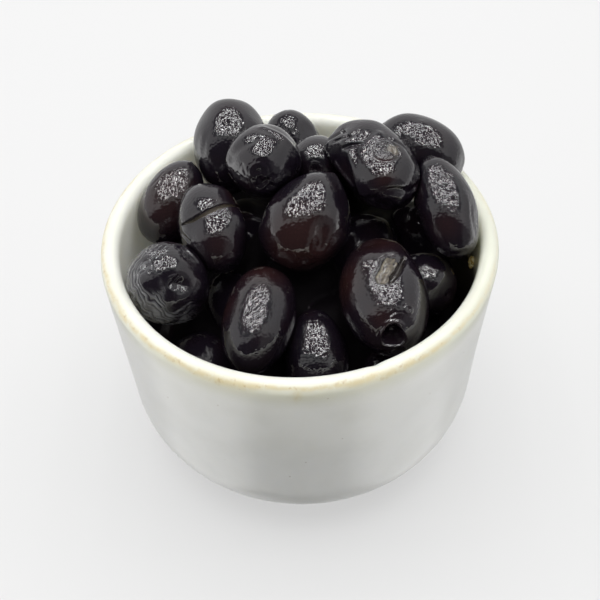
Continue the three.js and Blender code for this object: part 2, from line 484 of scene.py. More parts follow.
mottle = blend(tree, ramp(tree, noise(tree, place, 11, 4), 0.35, 0.75), GLAZE, GLAZE_SHADE)
only_cream = maths(tree, "MULTIPLY", field(tree, "cream_glaze"), 0.55)
creamy = blend(tree, only_cream, mottle, CREAM_GLAZE)
# Painted shade over the rim and on the inside wall at the right.
creamy = blend(tree, field(tree, "painted_glaze_shade"), creamy, SHADED_GLAZE_TONE)
blotches = ramp(tree, noise(tree, place, 1.8, 5, 0.65), 0.22, 0.58)
ragged = maths(tree, "MULTIPLY", field(tree, "thin_glaze"), blotches)
worn = blend(tree, ragged, creamy, THIN_GLAZE)
flecks = ramp(tree, noise(tree, place, 1.1, 3), 0.58, 0.70)
fleck = maths(tree, "MULTIPLY", field(tree, "thin_glaze"), flecks)
worn = blend(tree, maths(tree, "MULTIPLY", fleck, 0.7), worn, FLECK)
specks = add(tree, "ShaderNodeTexVoronoi")
specks.inputs["Scale"].default_value = 1 / (SPECK_PITCH * mm)
tree.links.new(place, specks.inputs["Vector"])
speck = ramp(tree, specks.outputs["Distance"], 0.055, 0.03)
specked = blend(tree, maths(tree, "MULTIPLY", speck, 0.5), worn, SPECK)
# Painted shade on the inside of the dish, at the front and the right.
shaded_inside = blend(tree, field(tree, "inner_shade"), specked, INNER_SHADE_TONE)
clay = field(tree, "bare_clay")
tree.links.new(blend(tree, clay, shaded_inside, BARE_CLAY), glaze.inputs["Base Color"])
tree.links.new(ramp(tree, clay, 0, 1, GLAZE_ROUGHNESS, CLAY_ROUGHNESS), glaze.inputs["Roughness"])
tree.links.new(ramp(tree, clay, 0, 1, COAT_WEIGHT, 0.0), glaze.inputs["Coat Weight"])
peel = add(tree, "ShaderNodeBump", Strength=0.5)
peel.inputs["Distance"].default_value = PEEL_DEPTH * mm
pinholes = maths(tree, "MULTIPLY", speck, 0.6)
uneven_glaze = maths(tree, "SUBTRACT", noise(tree, place, PEEL_PITCH, 3), pinholes)
tree.links.new(uneven_glaze, peel.inputs["Height"])
tree.links.new(peel.outputs[0], glaze.inputs["Normal"])

dish_shell = {
    "points": wall,
    "faces": closed_faces(len(outline), DISH_AROUND),
    "fields": {
        "thin_glaze": thin,
        "cream_glaze": cream,
        "painted_glaze_shade": glaze_shade_mask,
        "bare_clay": bare,
        "inner_shade": inner_shade,
    },
}
dish = piece("dish_glazed", [dish_shell], stoneware)
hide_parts("dish")


# ---- The plump olives on top -------------------------------------------------------------
# Whole black table olives, tipped into the dish and heaped above its rim. These seven have
# taut, even skin, with only soft swells, the stem scar and the small point at the tip.

# How every olive lies. Name: centre x, y, z, length and width (millimetres), then the
# bearing of the stem end from +X and that end's lift above the level (degrees).
heap = {
    "back_left": (-16.3, 27.3, 64.2, 23.5, 18, 88, 38),
    "back": (-0.5, 33.3, 58.7, 19.4, 13.2, 130, 48),
    "peak_left": (-7.8, 14.6, 70.25, 17.8, 16.6, -97, 25),
    "behind_centre": (4.4, 20.9, 63.8, 17.5, 13.4, -95, 30),
    "peak_right": (17.1, 12.8, 70.15, 25, 16.4, -48, -12),
    "back_right": (28.9, 22.3, 65.8, 22.2, 16, -31, -19),
    "right": (32.8, 3.7, 64.6, 25, 13.7, -73, -28),
    "left": (-30.3, 14.6, 57.7, 21.8, 14.5, -122, -36),
    "slit": (-19.8, 1.5, 62.1, 22.8, 15.2, -70, -16),
    "centre": (1.5, -0.1, 64.4, 23.8, 19.2, -128, -36),
    "wrinkled": (-29.6, -11.2, 57.6, 19.5, 18.4, -67, 43),
    "front": (-9.4, -20.3, 54.7, 26.5, 16, 78, 10),
    "pitted": (17.8, -16.3, 57.2, 29, 19.2, -81, -8),
    "low_right": (27.5, -5.5, 49.4, 17.2, 15, -47, 16),
    "low_front": (2.8, -23.2, 45.8, 22, 15, -84, -25),
    "low_front_left": (-22.5, -21, 40, 20, 16, -60, 10),
    "low_centre": (1.5, -8.5, 40.5, 21, 17, 10, 5),
    "low_right_centre": (14.5, 6.4, 47.5, 21, 17, 60, 10),
    "low_left_centre": (-15, -6, 42.5, 21, 16.5, 100, 10),
    "low_back_right": (14.5, 29.5, 56.5, 20, 16, -25, 0),
    "low_back_left": (-12.5, 13.5, 45.5, 20, 16, 160, 0),
    "low_front_right": (21, -24, 39.5, 20, 16, 45, 0),
    "low_behind_right": (29.5, 13.5, 45, 20, 16, 115, 10),
    "low_left": (-31, 2, 40, 20, 16, 90, 10),
    "low_behind_left": (-21, 23, 42, 20, 16, 135, 0),
    "under_back": (0, 29, 43, 20, 16, 5, 0),
    "under_front": (-9, -31, 36, 20, 16, -10, 0),
    "under_centre": (1, 12, 40, 20, 17, 80, 0),
    "under_front_centre": (17, -6, 37, 20, 16, 30, 0),
    "under_right": (31, -9, 33, 20, 15, 90, 0),
    "under_back_right": (22, 25, 36, 20, 16, 40, 5),
    "under_left": (-29, -9, 35, 20, 16, 70, 5),
    "under_middle": (-12, 6, 37, 20, 16, 20, 5),
    "under_front_right": (7, -33, 31, 20, 16, 10, 0),
}

STEM_SWELL = 0.07  # the stem end is blunter than the tip by this share
STEM_END = math.radians(142)  # where the stem end starts, as an angle from the tip

# An olive is firm but yields a little, so it is pressed flat where it meets a neighbour or
# the dish, which leaves these gaps (millimetres).
PRESS_GAP = 0.04
WALL_GAP = 0.12
SOFTNESS = 90.0  # the higher, the sharper the edge of a pressed place


def lie(name):
    """Centre, half length, half width and the turned axes of an olive."""
    *centre, length, width, bearing, lift = heap[name]
    turned, tipped = math.radians(bearing), math.radians(lift)
    level = np.array([math.cos(turned), math.sin(turned), 0])
    side = np.array([-math.sin(turned), math.cos(turned), 0])
    stem = level * math.cos(tipped) + np.array([0, 0, math.sin(tipped)])
    axes = np.stack([np.cross(side, stem), side, stem])
    return np.array(centre), length / 2, width / 2, axes


def depth_in(name, points):
    """How far out points are from an olive's centre, where its skin is 1."""
    centre, half_length, half_width, axes = lie(name)
    local = (points - centre) @ axes.T
    along = np.clip(local[:, 2] / half_length, -1, 1)
    across = half_width * (1 + STEM_SWELL * along)
    sideways = (local[:, 0] ** 2 + local[:, 1] ** 2) / across**2
    return np.sqrt(sideways + (local[:, 2] / half_length) ** 2)


def clear_of_dish(points):
    """Distance from points to the inside of the dish, less than 0 within its wall."""
    out = np.hypot(points[:, 0], points[:, 1]) + drawn_in(points)
    from_wall = inside_radius(points[:, 2]) - out
    from_rim = np.hypot(out - rim_centre, points[:, 2] - rim_height) - RIM_ROUND
    return np.where(points[:, 2] < rim_height, from_wall, from_rim)


def pressed(name, skin):
    """The skin drawn in where a neighbour or the dish presses on it."""
    centre, half_length, half_width, _ = lie(name)
    spokes = skin - centre
    kept = np.ones(len(skin))

    def press(room, near):
        """Draws points in along their spokes, to where the room that is left is just 0."""
        gap = room(centre + spokes[near], 1.0)
        low, high = np.full(near.sum(), 0.5), np.ones(near.sum())
        for _ in range(14):
            middle = (low + high) / 2
            free = room(centre + spokes[near] * middle[:, None], middle) > 0
            low, high = np.where(free, middle, low), np.where(free, high, middle)
        sunk = np.where(gap < 0, 1 - low, -gap / 2)
        softened = np.logaddexp(0, sunk * SOFTNESS) / SOFTNESS
        kept[near] = np.minimum(kept[near], 1 - np.where(sunk > -0.1, softened, 0))

    for other in heap:
        apart = np.linalg.norm(lie(other)[0] - centre)
        if other == name or apart > half_length + lie(other)[1] + 1:
            continue
        near = depth_in(other, skin) < 1.25
        if near.any():
            press(lambda points, share: depth_in(other, points) - share - PRESS_GAP / half_width, near)
    near = clear_of_dish(skin) < 1
    if near.any():
        press(lambda points, share: (clear_of_dish(points) - WALL_GAP) / half_width, near)
    return centre + spokes * kept[:, None]


def ball(angles, around):
    """Points on a round skin of radius 1: the low pole, a row at each angle, the high pole."""
    turn = np.linspace(0, 2 * math.pi, around, endpoint=False)
    up, round_axis = np.meshgrid(angles, turn, indexing="ij")
    rows = [np.sin(up) * np.cos(round_axis), np.sin(up) * np.sin(round_axis), -np.cos(up)]
    return np.vstack([[0, 0, -1], np.stack(rows, -1).reshape(-1, 3), [0, 0, 1]])


def olive(name, rows, around, lumps=0.012, stem_rows=0):
    """The plain shape of an olive, ready for its own creases and marks.

    With stem_rows, that many rows of points stand close together over the stem end.
    """
    centre, half_length, half_width, axes = lie(name)
    angles = np.linspace(0, math.pi, rows + 2)[1:-1]
    if stem_rows:
        close_rows = np.linspace(STEM_END, math.pi, stem_rows + 1)[:-1]
        angles = np.concatenate([angles[angles < STEM_END], close_rows])
    unit = ball(angles, around)
    across = half_width * (1 + STEM_SWELL * unit[:, 2:])
    local = np.hstack([unit[:, :2] * across, unit[:, 2:] * half_length])
    # Each olive's swells follow from its name.
    seed = sum(ord(letter) * (n + 1) for n, letter in enumerate(name))
    swell = lumps * (waves(unit, 2.2, seed) - 0.8) + lumps * 0.5 * waves(unit, 0.75, seed + 1)
    local *= (1 + swell)[:, None]
    out = np.hstack([unit[:, :2] / across, unit[:, 2:] / half_length])
    out /= np.linalg.norm(out, axis=1)[:, None]
    made = SimpleNamespace(
        name=name,
        unit=unit,
        plain=centre + local @ axes,
        out=out @ axes,
        faces=closed_faces(len(angles), around),
        brown=np.zeros(len(unit)),
        flesh=np.zeros(len(unit)),
        pale_ridges=np.zeros(len(unit)),
        rise=np.zeros(len(unit)),
    )
    made.skin = pressed(name, made.plain)
    # The shallow dimple and the ring of the stem scar, and the small point at the tip.
    from_axis = np.hypot(unit[:, 0], unit[:, 1]) * half_width
    stem = unit[:, 2] > 0
    made.rise -= stem * 0.55 * hump(from_axis, 1.9)
    made.rise += stem * 0.16 * hump(from_axis - 1.5, 0.35)
    made.rise -= stem * 0.25 * hump(from_axis, 0.5)
    made.rise += ~stem * 0.22 * hump(from_axis, 0.8)
    return made


def spot(fruit, right, up):
    """The point of an olive's skin that the camera sees that far right of and above its middle."""
    through = lie(fruit.name)[0] + right * right_hand + up * upward
    ray = through - eye
    ray /= np.linalg.norm(ray)
    steps = eye + ray * (np.linalg.norm(through - eye) + np.linspace(-20, 20, 2001))[:, None]
    inside = depth_in(fruit.name, steps)
    hit = np.argmax(inside < 1) if (inside < 1).any() else np.argmin(inside)
    return steps[hit]


def from_spot(fruit, right, up):
    """Each point's distance from a spot on the same olive."""
    return np.linalg.norm(fruit.plain - spot(fruit, right, up), axis=1)


def from_line(fruit, places):
    """Each point's distance from a line over the skin, and its share of the way along it."""
    stops = np.array([spot(fruit, *place) for place in places])
    best, share = np.full(len(fruit.plain), np.inf), np.zeros(len(fruit.plain))
    for n, (here, there) in enumerate(zip(stops, stops[1:])):
        step = there - here
        way = np.clip((fruit.plain - here) @ step / (step @ step), 0, 1)
        away = np.linalg.norm(fruit.plain - (here + way[:, None] * step), axis=1)
        closer = away < best
        best = np.where(closer, away, best)
        share = np.where(closer, (n + way) / (len(stops) - 1), share)
    return best, share


def patch(fruit, right, up, across, steepness=2):
    """1 at a spot on an olive, fading out round it."""
    return hump(from_spot(fruit, right, up), across, steepness)


def streak(fruit, places, across):
    """1 along a line on an olive, fading out beside it."""
    return hump(from_line(fruit, places)[0], across)


def fading(share, ends=0.15):
    """1 along the middle of a line, fading to 0 at both of its ends."""
    return soft(0, ends, share) * (1 - soft(1 - ends, 1, share))


def dent(fruit, right, up, across, depth):
    """A round hollow; less than 0 deep, a bulge."""
    fruit.rise -= depth * patch(fruit, right, up, across)


def groove(fruit, places, across, depth):
    """A hollow along a line; less than 0 deep, a ridge."""
    fruit.rise -= depth * streak(fruit, places, across)


def fold(fruit, places, across, depth):
    """A soft crease along a line, with the skin puckered up a little beside it."""
    away, share = from_line(fruit, places)
    fade = fading(share)
    fruit.rise -= fade * depth * hump(away, across)
    fruit.rise += fade * depth * 0.35 * hump(away - 1.9 * across, across)


def shell(fruit):
    """An olive's finished skin, as one shell of a piece."""
    return {
        "points": fruit.skin + fruit.out * fruit.rise[:, None],
        "faces": fruit.faces,
        "fields": {
            "browning": np.clip(fruit.brown, 0, 1),
            "flesh": np.clip(fruit.flesh, 0, 1),
            "pale_ridges": np.clip(fruit.pale_ridges, 0, 1),
        },
    }


# The skin is thin and finely pebbled, black with some red-brown where it ripened less. Oil
# and brine leave it glossy. On the wrinkled olive's ridges it is painted pale grey, a painted sheen,
# and made rougher there. The flesh is brown.
SKIN_BLACK = (0.0075, 0.0054, 0.0090)
SKIN_BROWN = (0.0190, 0.0080, 0.0080)
FLESH = (0.15, 0.13, 0.095)
DARK_FLESH = (0.07, 0.055, 0.035)
# Pale grey of the painted sheen on the wrinkled olive's ridges.
RIDGE_SHEEN = (0.125, 0.125, 0.130)
SKIN_ROUGHNESS = 0.038
RIDGE_ROUGHNESS = 0.22
PEBBLE_PITCH = 0.58
PEBBLE_DEPTH = 0.043

pebbled = bpy.data.node_groups.new("pebbled_skin", "ShaderNodeTree")
pebbled.interface.new_socket("Place", in_out="INPUT", socket_type="NodeSocketVector")
pebbled.interface.new_socket("Pitch", in_out="INPUT", socket_type="NodeSocketFloat")
pebbled.interface.new_socket("Height", in_out="OUTPUT", socket_type="NodeSocketFloat")
given = add(pebbled, "NodeGroupInput")
fine = add(pebbled, "ShaderNodeTexNoise", Detail=0.0, Roughness=0.5)
pebbled.links.new(given.outputs["Place"], fine.inputs["Vector"])
pebbled.links.new(maths(pebbled, "DIVIDE", 1000.0, given.outputs["Pitch"]), fine.inputs["Scale"])
pebbled.links.new(fine.outputs["Fac"], add(pebbled, "NodeGroupOutput").inputs["Height"])

olive_skin = bpy.data.materials.new("olive_skin")
olive_skin.use_nodes = True
tree = olive_skin.node_tree
skin = tree.nodes["Principled BSDF"]
skin.inputs["IOR"].default_value = 1.5
skin.inputs["Specular IOR Level"].default_value = 0.85
place = add(tree, "ShaderNodeTexCoord").outputs["Object"]
patchy = ramp(tree, noise(tree, place, 7, 3), 0.42, 0.72)
ripeness = maths(tree, "MAXIMUM", field(tree, "browning"), maths(tree, "MULTIPLY", patchy, 0.22))
skin_colour = blend(tree, ripeness, SKIN_BLACK, SKIN_BROWN)
# Painted sheen: pale grey and rougher on the wrinkled olive's ridges.
on_ridges = field(tree, "pale_ridges")
skin_colour = blend(tree, on_ridges, skin_colour, RIDGE_SHEEN)
flesh_colour = blend(tree, noise(tree, place, 0.7, 4), DARK_FLESH, FLESH)
outside_colour = blend(tree, field(tree, "flesh"), skin_colour, flesh_colour)
tree.links.new(outside_colour, skin.inputs["Base Color"])
tree.links.new(ramp(tree, on_ridges, 0, 1, SKIN_ROUGHNESS, RIDGE_ROUGHNESS), skin.inputs["Roughness"])
pebbles = add(tree, "ShaderNodeGroup", node_tree=pebbled)
pebbles.inputs["Pitch"].default_value = PEBBLE_PITCH
tree.links.new(place, pebbles.inputs["Place"])
skin_bump = add(tree, "ShaderNodeBump", Strength=1.0)
skin_bump.inputs["Distance"].default_value = PEBBLE_DEPTH * mm
tree.links.new(pebbles.outputs["Height"], skin_bump.inputs["Height"])
tree.links.new(skin_bump.outputs[0], skin.inputs["Normal"])

plump_names = ("back_left", "back", "behind_centre", "back_right", "left", "centre", "front")
plump = {name: olive(name, 90, 120) for name in plump_names}

# Each mark is given by how far right of and above the olive's middle it is seen, then its
# breadth and its depth (millimetres).
fruit = plump["back_left"]
dent(fruit, -6.5, 7.1, 4.0, 0.55)
dent(fruit, 5.8, 8.0, 3.5, 0.4)
fold(fruit, [(-6.6, -3.0), (-6.2, 1.0), (-5.2, 4.0)], 0.7, 0.12)

fruit = plump["back"]
dent(fruit, 3.4, 4.6, 2.6, 0.6)
dent(fruit, -5.0, 3.2, 2.0, 0.3)
dent(fruit, -1.6, 6.0, 1.6, -0.35)

fruit = plump["back_right"]
groove(fruit, [(0.2, 6.9), (-2.0, 3.2)], 0.8, -0.2)
dent(fruit, -4.5, 3.0, 1.6, 0.3)

fruit = plump["left"]
fruit.brown += 0.75 * patch(fruit, -1.0, 1.0, 8.0, 4)
for n in range(3):
    crease = [(-6.0 + n * 0.7, 4.7 - n), (-3.6 + n * 0.5, 7.1 - n), (-1.6, 8.3 - n * 0.5)]
    fold(fruit, crease, 0.28, 0.14)

fruit = plump["centre"]
dent(fruit, -3.7, 8.7, 3.5, 0.55)
dent(fruit, 8.6, 5.5, 3.5, 0.7)
dent(fruit, 6.3, 10.7, 2.0, -0.5)
dent(fruit, 9.2, -4.0, 3.0, -0.5)
dent(fruit, -10.5, -2.9, 3.0, -0.4)
dent(fruit, 0.7, -10.4, 4.0, 0.35)
groove(fruit, [(3.4, -1.8), (3.0, -5.2)], 1.9, 0.9)
fruit.brown += 1.0 * patch(fruit, -1.0, -5.0, 9.0, 4)

fruit = plump["front"]
dent(fruit, -6.5, 5.0, 4.0, 0.3)
groove(fruit, [(1.2, 6.5), (-0.8, 2.5), (-1.0, -4.5)], 2.0, -0.28)
fruit.brown += 1.0 * patch(fruit, 1.0, 11, 5.5) + 0.7 * patch(fruit, -7, 3, 4)
pimples = ((3.9, 5.9), (2.8, 4.6), (4.4, 1.8), (3.1, 0.7), (4.6, -1.5), (2.0, -4.7))
for right, up in pimples:
    dent(fruit, right, up, 0.26, -0.10)

plump_shells = [shell(fruit) for fruit in plump.values()]
olives_plump = piece("olives_plump", plump_shells, olive_skin)
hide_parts("olives")


# ---- The creased olives on top -----------------------------------------------------------
# Two olives whose skin has puckered in the brine: one seen at its stem dimple, and one finely
# wrinkled down its outer side.

creased = {name: olive(name, 120, 150) for name in ("peak_left", "right")}

fruit = creased["peak_left"]
dent(fruit, -9.0, -0.3, 4.0, -0.5)
dent(fruit, 8.9, -1.9, 4.0, -0.6)
dent(fruit, -0.3, -3.8, 4.6, -1.8)
dent(fruit, 0.4, 6.6, 2.6, 0.35)
groove(fruit, [(0.0, 5.5), (-0.4, 1.5)], 2.3, -0.42)
dent(fruit, -0.2, -4.8, 1.9, 1.5)
fruit.rise += patch(fruit, 0.2, -4.6, 2.4, 4) * 0.2 * waves(fruit.plain, 1.5, 30)
groove(fruit, [(-0.5, 7.6), (2.7, 6.3), (4.7, 4.9), (6.3, 3.3), (7.9, 1.0)], 0.8, -0.3)
groove(fruit, [(-7.6, 0.6), (-6.3, 2.4), (-4.4, 3.8), (-2.6, 4.7)], 1.3, 0.45)
groove(fruit, [(-5.8, -2.8), (-4.9, -0.8), (-4.0, -2.8)], 0.45, 0.11)

fruit = creased["right"]
dent(fruit, 7.4, -3.0, 4.0, 0.4)
dent(fruit, -5.6, -3.4, 3.0, 0.4)
groove(fruit, [(-1.6, 6.1), (1.4, 7.0)], 0.6, 0.15)
fruit.brown += 0.6 * patch(fruit, 0, -4.0, 3.5)
outer_side = streak(fruit, [(5.6, 3.0), (6.6, -2.0), (6.4, -6.0)], 2.4)
round_axis = np.arctan2(fruit.unit[:, 1], fruit.unit[:, 0])
fruit.rise += outer_side * 0.06 * np.sin(round_axis * 17 + waves(fruit.unit, 0.8, 33) * 3)
fold(fruit, [(-2.1, -9.1), (2.2, -10.6), (5.1, -9.5)], 0.5, 0.2)

creased_shells = [shell(fruit) for fruit in creased.values()]
olives_creased = piece("olives_creased", creased_shells, olive_skin)
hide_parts("olives")


# ---- The scarred olive -------------------------------------------------------------------
# The highest olive, bruised and crumpled at its far end. A pale scar on top of it has healed
# in rings.

SCAR_AT = (2.7, 3.1)
SCAR_RADIUS = 2.7
RING_PITCH = 1.25

fruit = olive("peak_right", 210, 270)
dent(fruit, -11.2, 3.6, 2.6, -1.3)
dent(fruit, -7.7, 8.0, 3.0, 0.6)
dent(fruit, -6.9, 4.6, 1.6, -0.45)
dent(fruit, -9.6, 1.2, 1.5, -0.4)
dent(fruit, -7.4, -4.9, 3.0, 0.9)
dent(fruit, 1.2, -5.4, 5.6, -2.3)
dent(fruit, 0.6, 9.8, 3.0, -0.5)
dent(fruit, 8.6, 2.6, 3.0, 0.3)
dent(fruit, 5.7, -8.5, 1.5, -0.3)

# The scar: low rings, sunk at its lower edge, and a little raw flesh at its right.
ring = from_spot(fruit, *SCAR_AT) * (1 + 0.10 * waves(fruit.plain, 5, 34))
fruit.rise += 0.12 * np.cos(ring * 2 * math.pi / RING_PITCH) * (1 - soft(2.6, 3.6, ring))
lower_edge = soft(0.5, -1.5, (fruit.plain - spot(fruit, *SCAR_AT)) @ upward)
fruit.rise -= 0.4 * lower_edge * hump(ring - SCAR_RADIUS, 0.4) + 0.15 * hump(ring, 2.0)
raw = from_spot(fruit, 4.3, 3.1) * (1 + 0.2 * waves(fruit.plain, 1.6, 35))
fruit.flesh += 0.7 * hump(raw, 1.35, 3)
fruit.brown += 1.0 * streak(fruit, [(0.6, 1.1), (2.3, 0.5), (3.9, 0.9)], 0.5)
fruit.brown += 0.8 * patch(fruit, 2.5, -3.0, 2.2)

# The crumpled folds.
groove(fruit, [(1.2, 6.8), (-0.6, 5.2), (-2.3, 3.7)], 0.9, -0.3)
groove(fruit, [(-5.6, 2.2), (-4.2, -1.6), (-2.2, -6.0)], 1.0, -0.5)
dent(fruit, 2.0, -8.6, 2.2, 1.2)
groove(fruit, [(-10.7, 4.7), (-8.2, 7.4), (-7.5, 8.1), (-5.9, 6.0)], 0.45, 0.45)
groove(fruit, [(-9.3, 5.1), (-7.7, 5.8), (-5.5, 6.3), (-3.4, 7.4)], 0.4, 0.4)
groove(fruit, [(-6.8, 3.5), (-5.0, 4.2), (-3.0, 4.4)], 0.45, 0.4)
groove(fruit, [(-8.6, -0.1), (-6.6, -2.8), (-4.5, -4.6)], 0.6, -0.5)
groove(fruit, [(0.2, -7.1), (2.5, -5.5), (4.8, -5.5), (8.2, -6.2), (10.0, -4.9)], 0.8, 0.55)
groove(fruit, [(3.2, 5.8), (6.4, 4.4), (7.7, 3.5)], 0.4, 0.3)
dent(fruit, -0.7, 0.1, 0.4, 0.35)
olive_scarred = piece("olive_scarred", [shell(fruit)], olive_skin)
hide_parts("olives")


# ---- The wrinkled olive ------------------------------------------------------------------
# A drier olive by the wall at the left. Its skin has shrunk into close rings round the stem
# end, and the stem dimple is deep and dark.

DIMPLE_AT = (2.4, 0.6)
WRINKLE_PITCH = 0.98
WRINKLE_DEPTH = 0.42

fruit = olive("wrinkled", 170, 200, stem_rows=90)
dent(fruit, 6.2, -8.0, 3.0, -0.6)
dent(fruit, 1.3, 4.0, 3.4, -0.55)

# The rings run round the stem dimple and back over the far side, and fade towards the right.
# A painted sheen lies on the ridges between them, at the lower left: pale grey, and rougher.
from_dimple = fruit.plain - spot(fruit, *DIMPLE_AT)
behind = (fruit.plain - lie("wrinkled")[0]) @ forward
ring = np.hypot(from_dimple @ right_hand, from_dimple @ upward) + np.maximum(behind + 3, 0) * 0.6
ring += 0.55 * waves(fruit.plain, 7, 41) + 0.34 * waves(fruit.plain, 2.4, 42)
ridges = np.abs(np.sin(ring * math.pi / WRINKLE_PITCH))
lower_left = from_dimple @ (-0.85 * right_hand - 0.5 * upward) / 9
shrunk = soft(4.9, 6.8, ring + 1.2 * waves(fruit.plain, 6, 43)) * (1 - soft(14, 17, ring))
shrunk *= soft(-0.6, 0.2, lower_left) * np.clip(0.75 + 0.45 * waves(fruit.plain, 3.2, 44), 0, 1)
fruit.rise -= WRINKLE_DEPTH * shrunk * (1 - ridges) ** 1.6
fruit.pale_ridges += soft(-0.1, 0.7, lower_left) * shrunk * ridges**1.2

dent(fruit, 3.3, -0.3, 1.5, 0.9)
fold(fruit, [(0.2, -1.2), (1.4, 0.3), (2.9, 2.1)], 0.3, 0.2)
fold(fruit, [(3.7, 7.8), (5.7, 6.1), (7.3, 4.1)], 0.4, 0.35)
olive_wrinkled = piece("olive_wrinkled", [shell(fruit)], olive_skin)
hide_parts("olives")


# ---- The slit olive ----------------------------------------------------------------------
# An olive cut once with a knife before curing. The cut stands slightly open and shows the
# brown flesh inside.

CUT = [(-7.2, 0.4), (-4.7, 1.8), (-2.1, 3.0), (0.4, 4.1), (2.9, 4.9), (5.0, 4.8), (6.7, 4.2)]
CUT_HALF = 0.82
CUT_DEPTH = 1.15

fruit = olive("slit", 220, 260)
dent(fruit, 3.5, 8.3, 3.0, -0.5)
dent(fruit, 7.8, -3.6, 4.0, 0.5)
dent(fruit, 6.0, 1.8, 3.5, -0.75)
dent(fruit, -4.5, 1.0, 3.4, 0.7)
cut, share = from_line(fruit, CUT)
half_open = np.sqrt(np.clip(share * (1.05 - share) * 4, 0, 1)) * CUT_HALF
gap = 1 - soft(0.0, 1.0, cut / np.maximum(half_open, 0.05))
fruit.rise -= CUT_DEPTH * gap * (half_open > 0.06)
fruit.rise += 0.10 * hump(cut - 0.8, 0.35) * (half_open > 0.06)
fruit.flesh += 0.6 * soft(0.2, 0.6, gap)
fold(fruit, [(-7.3, -1.2), (-6.2, -2.4), (-5.0, -3.6)], 0.4, 0.25)
fruit.brown += 0.9 * patch(fruit, 5.2, 6.0, 3.2) + 0.6 * patch(fruit, 1.5, -4.0, 4.0)
olive_slit = piece("olive_slit", [shell(fruit)], olive_skin)
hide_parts("olives")


# ---- The pitted olive --------------------------------------------------------------------
# The largest olive, at the front. Its stone was pushed out at the near end, which left a
# round hole with a raised lip, and a strip of its skin is torn away over the flesh.

HOLE_AT = (2.1, -9.0)
HOLE_DEPTH = 4.2
LIP_RADIUS = 2.9
STRIP_HALF = 1.55
STREAK_PITCH = 1.25
GASH_DEPTH = 1.5

fruit = olive("pitted", 190, 250, stem_rows=80)
dent(fruit, -3.0, 11.9, 3.0, 0.7)
dent(fruit, 3.5, 11.8, 3.0, -0.6)
dent(fruit, 9.4, -1.5, 5.0, 0.5)
dent(fruit, -10.0, 3.4, 4.0, -0.4)
dent(fruit, -5.4, 7.6, 2.6, -0.55)

# The pit hole is a little three-cornered, and its lip stands higher on the upper side.
hole = from_spot(fruit, *HOLE_AT)
from_hole = fruit.plain - spot(fruit, *HOLE_AT)
round_hole = np.arctan2(from_hole @ upward, from_hole @ right_hand)
hole *= 1 + 0.10 * np.cos(3 * round_hole - 1.4) + 0.06 * waves(fruit.plain, 5, 53)
above_hole = from_hole @ upward / np.maximum(hole, 0.3)
pushed_in = -fruit.out[np.argmin(hole)] * HOLE_DEPTH * (1 - soft(0.2, 3.0, hole))[:, None]
fruit.rise += 0.35 * hump(hole - LIP_RADIUS, 0.6) * (0.5 + 0.5 * above_hole)
fold(fruit, [(-2.0, -9.0), (-1.0, -7.5), (0.2, -6.4), (1.8, -5.9), (3.6, -6.3), (4.8, -7.4)], 0.3, 0.2)

# Where the strip of skin is gone, the flesh is streaked lengthways. A furrow runs round its
# left side, and a gash opens along its right.
middle_line = [(1.5, 7.2), (0.6, 5.5), (-0.2, 3.9)]
strip = from_line(fruit, middle_line)[0]
on_strip = 1 - soft(0.85, 1.08, strip / STRIP_HALF + 0.08 * waves(fruit.plain, 1.6, 54))
across_strip = (fruit.plain - spot(fruit, *middle_line[1])) @ (0.889 * right_hand - 0.458 * upward)
streaks = np.sin(across_strip * 2 * math.pi / STREAK_PITCH + 0.9 * waves(fruit.plain, 2.5, 51))
left_side = [(2.9, 8.7), (1.1, 9.0), (-0.5, 8.1), (-0.9, 6.5), (-2.2, 4.2), (-1.3, 2.2)]
furrow, furrow_share = from_line(fruit, left_side)
right_side = [(4.7, 8.6), (4.2, 7.3), (3.1, 5.4), (1.9, 3.9), (1.2, 2.6)]
gash, gash_share = from_line(fruit, right_side)
gash /= 0.35 + 0.6 * np.sin(math.pi * np.clip(gash_share, 0, 1))
fruit.rise += on_strip * (0.12 + 0.13 * streaks)
fruit.rise -= 0.5 * hump(furrow, 0.28) * fading(furrow_share)
fruit.rise -= GASH_DEPTH * (1 - soft(0.3, 1.15, gash)) * fading(gash_share, 0.12)
streaky = 0.62 + 0.22 * streaks + 0.2 * waves(fruit.plain, 0.9, 52)
fruit.flesh += on_strip * streaky * soft(0.5, 1.1, gash)
fruit.flesh += 0.22 * (1 - soft(0.4, 1.0, gash))

# A pimple with a low ring round it.
dot = from_spot(fruit, 5.5, -2.8)
fruit.rise += 0.14 * hump(dot - 0.8, 0.28) - 0.10 * hump(dot, 0.4)
fold(fruit, [(1.2, -4.3), (2.6, -3.2)], 0.3, 0.15)
fruit.brown += 1.0 * patch(fruit, -8.4, 3.0, 5.5) + 0.9 * patch(fruit, -1, 12, 5)
fruit.brown += 0.7 * patch(fruit, -0.5, -4.6, 3.5)
torn = shell(fruit)
torn["points"] += pushed_in
olive_pitted = piece("olive_pitted", [torn], olive_skin)
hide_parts("olives")


# ---- The crumb on the wall ---------------------------------------------------------------
# A small moist crumb of olive flesh, yellow and brown. It has stuck to the inside of the dish
# at the right.

CRUMB_AT = (39.7, -0.5, 51.2)
CRUMB_SIZE = (0.9, 1.15, 1.1)
CRUMB_ROWS = 24
CRUMB_AROUND = 36
CRUMB_BROWN = (0.42, 0.27, 0.05)
CRUMB_YELLOW = (0.85, 0.75, 0.40)

